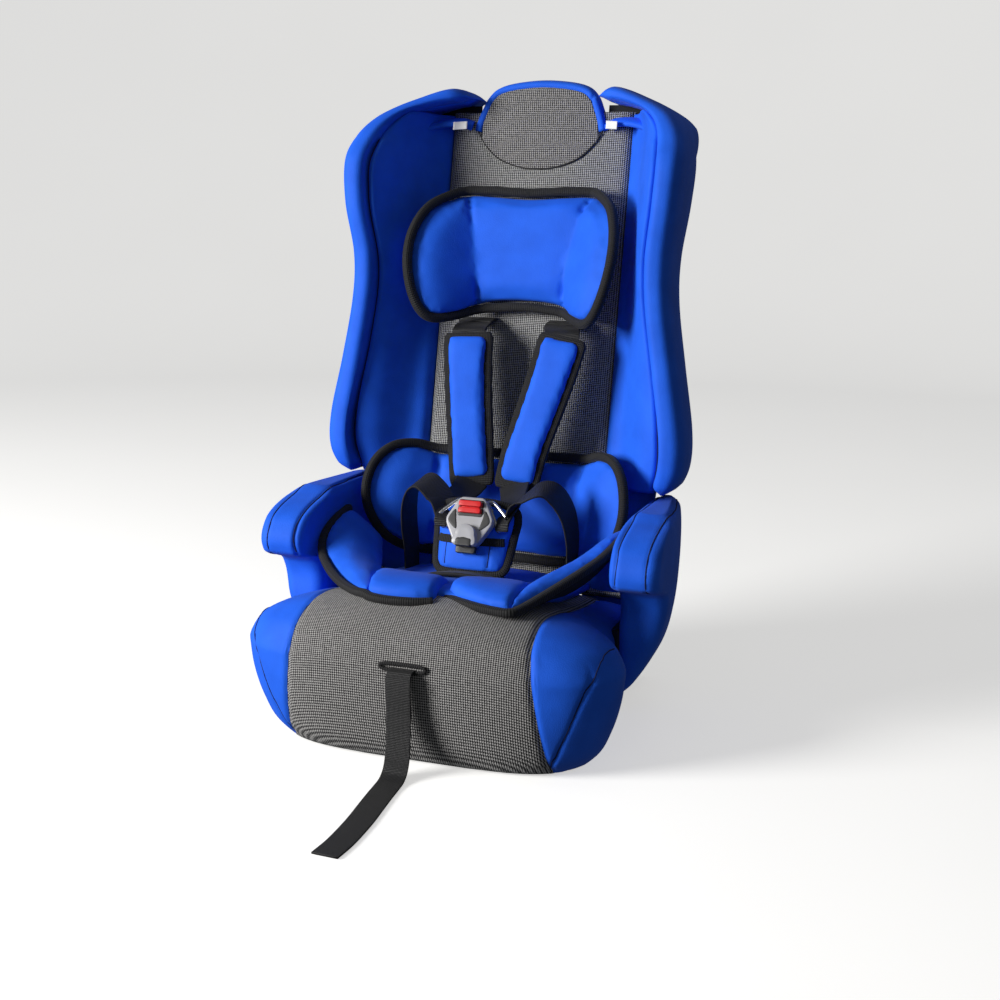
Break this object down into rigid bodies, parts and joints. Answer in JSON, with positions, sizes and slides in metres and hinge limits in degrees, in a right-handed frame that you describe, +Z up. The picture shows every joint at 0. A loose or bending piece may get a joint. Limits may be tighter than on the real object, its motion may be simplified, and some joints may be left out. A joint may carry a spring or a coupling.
{
  "type": "booster seat",
  "caption": "Harnessed high-back child booster seat with side wings, armrests, padded fabric covers, insert cushions, five-point buckle and a front adjuster strap.",
  "frame": {"origin": "on the floor under the middle of the seat, at the centre of the bounding box in x and y", "axes": "+Z up, the seat faces -Y, +X to the right seen from the front; symmetrical about x = 0"},
  "size_m": [0.424, 0.6052, 0.667],
  "materials": {
    "moulded_shell": "fine-grained black moulded plastic",
    "blue_knit": "royal blue brushed knit over foam",
    "mesh_knit": "black and light grey sandwich mesh",
    "webbing": "black woven polyester webbing",
    "steel": "zinc-plated steel",
    "chrome_tongue": "bright plated",
    "buckle_grey": "silver-grey moulded plastic",
    "button_red": "red moulded plastic"
  },
  "bodies": {
    "base": {"base_shell": "moulded_shell", "armrest_frame_left": "moulded_shell", "armrest_frame_right": "moulded_shell", "seat_cover_left": "blue_knit", "seat_cover_right": "blue_knit", "armrest_cover_left": "blue_knit", "armrest_cover_right": "blue_knit", "insert_seat_pad": "blue_knit", "thigh_bolster_left": "blue_knit", "thigh_bolster_right": "blue_knit", "crotch_pad": "blue_knit", "shoulder_pad_left": "blue_knit", "shoulder_pad_right": "blue_knit", "seat_cover_centre": "mesh_knit", "crotch_strap": "webbing", "lap_strap_left": "webbing", "lap_strap_right": "webbing", "harness_strap_left": "webbing", "harness_strap_right": "webbing", "harness_pull_strap": "webbing", "adjuster_strap": "webbing", "hinge_rod": "steel", "crotch_anchor_plate": "steel", "lap_anchor_left": "steel", "lap_anchor_right": "steel", "latch_plate": "steel", "latch_spring": "steel", "adjuster_frame": "steel", "adjuster_pin": "steel", "adjuster_spring": "steel", "buckle_back": "buckle_grey", "buckle_front": "buckle_grey"},
    "backrest": {"back_shell": "moulded_shell", "back_rib_inner_left": "moulded_shell", "back_rib_inner_right": "moulded_shell", "back_rib_outer_left": "moulded_shell", "back_rib_outer_right": "moulded_shell", "back_hook_left": "moulded_shell", "back_hook_right": "moulded_shell", "back_cover_centre": "mesh_knit", "head_cover": "mesh_knit", "wing_cover_left": "blue_knit", "wing_cover_right": "blue_knit", "belt_guide_left": "blue_knit", "belt_guide_right": "blue_knit", "head_pillow": "blue_knit", "insert_back_pad": "blue_knit", "torso_lobe_left": "blue_knit", "torso_lobe_right": "blue_knit", "yoke_plate": "steel", "yoke_strap": "webbing", "shoulder_strap_left": "webbing", "shoulder_strap_right": "webbing"},
    "tongue_left": {"tongue_left": "chrome_tongue"},
    "tongue_right": {"tongue_right": "chrome_tongue"},
    "button": {"release_button": "button_red"},
    "adjuster_lever": {"adjuster_cam": "steel"}
  },
  "joints": [
    {"name": "backrest_recline", "type": "hinge", "parent": "base", "child": "backrest", "pos_m": [0, 0.105, 0.085], "axis": [1, 0, 0], "range_deg": [-20, 0]},
    {"name": "tongue_left_slide", "type": "slide", "parent": "base", "child": "tongue_left", "axis": [0, 0.4226, 0.9063], "range_m": [0, 0.014]},
    {"name": "tongue_right_slide", "type": "slide", "parent": "base", "child": "tongue_right", "axis": [0, 0.4226, 0.9063], "range_m": [0, 0.014]},
    {"name": "release_button_press", "type": "slide", "parent": "base", "child": "button", "axis": [0, 0.9063, -0.4226], "range_m": [0, 0.0035], "stiffness_N_per_m": 400, "springref_m": -0.003},
    {"name": "adjuster_lever_press", "type": "hinge", "parent": "base", "child": "adjuster_lever", "pos_m": [0, -0.174, 0.102], "axis": [1, 0, 0], "range_deg": [0, 12], "stiffness_Nm_per_rad": 0.3, "springref_deg": -17.19}
  ]
}
